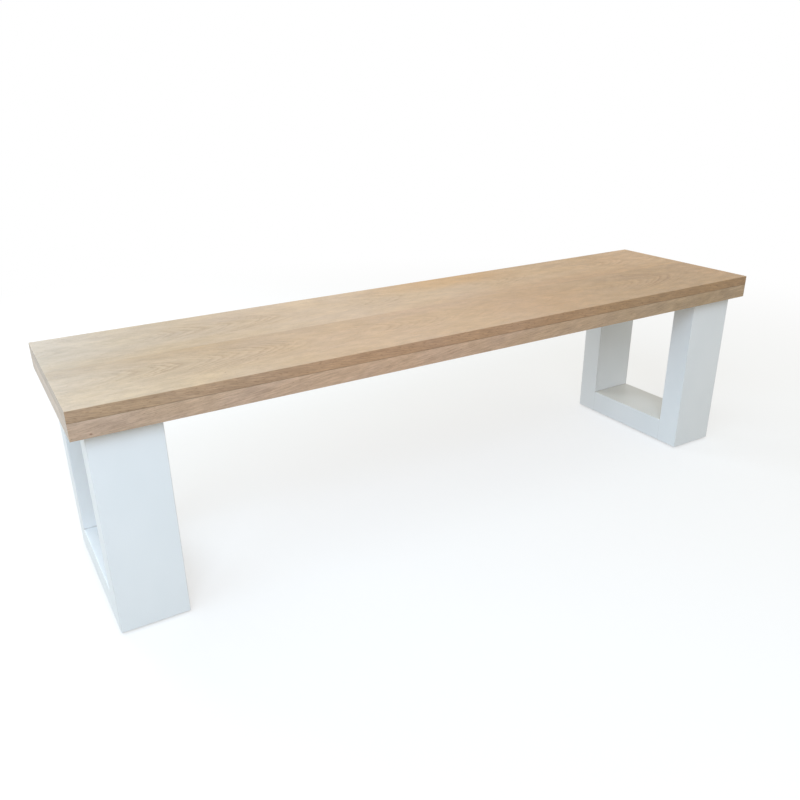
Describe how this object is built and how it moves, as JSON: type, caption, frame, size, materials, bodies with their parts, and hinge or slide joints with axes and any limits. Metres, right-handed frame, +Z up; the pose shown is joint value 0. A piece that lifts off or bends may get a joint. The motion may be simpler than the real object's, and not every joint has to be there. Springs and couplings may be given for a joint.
{
  "type": "bench",
  "caption": "Long flat bench: a two-layer oak seat with square edges on two white painted wooden U-frames with open middles, bolted on from below.",
  "frame": {"origin": "on the floor, under the middle of the seat", "axes": "+X along the bench to its right end, +Y from its front to its back, +Z up"},
  "size_m": [1.5, 0.38, 0.42],
  "materials": {
    "oak_boards": "matt oiled oak",
    "oak_strips": "matt oiled oak",
    "white_paint": "satin white paint",
    "beech_dowels": "bare beech",
    "zinc_steel": "bright zinc",
    "grey_felt": "needle felt"
  },
  "bodies": {
    "root": {"front_board": "oak_boards", "back_board": "oak_boards", "board_dowels": "beech_dowels", "front_edge_strip": "oak_strips", "back_edge_strip": "oak_strips", "left_end_strip": "oak_strips", "right_end_strip": "oak_strips", "centre_batten": "oak_strips", "batten_screws": "zinc_steel", "end_strip_screws": "zinc_steel", "left_leg_front_post": "white_paint", "left_leg_back_post": "white_paint", "left_leg_bottom_rail": "white_paint", "left_leg_top_rail": "white_paint", "left_leg_dowels": "beech_dowels", "left_leg_bolts": "zinc_steel", "left_leg_washers": "zinc_steel", "left_leg_inserts": "zinc_steel", "left_leg_pads": "grey_felt", "right_leg_front_post": "white_paint", "right_leg_back_post": "white_paint", "right_leg_bottom_rail": "white_paint", "right_leg_top_rail": "white_paint", "right_leg_dowels": "beech_dowels", "right_leg_bolts": "zinc_steel", "right_leg_washers": "zinc_steel", "right_leg_inserts": "zinc_steel", "right_leg_pads": "grey_felt"}
  },
  "joints": []
}
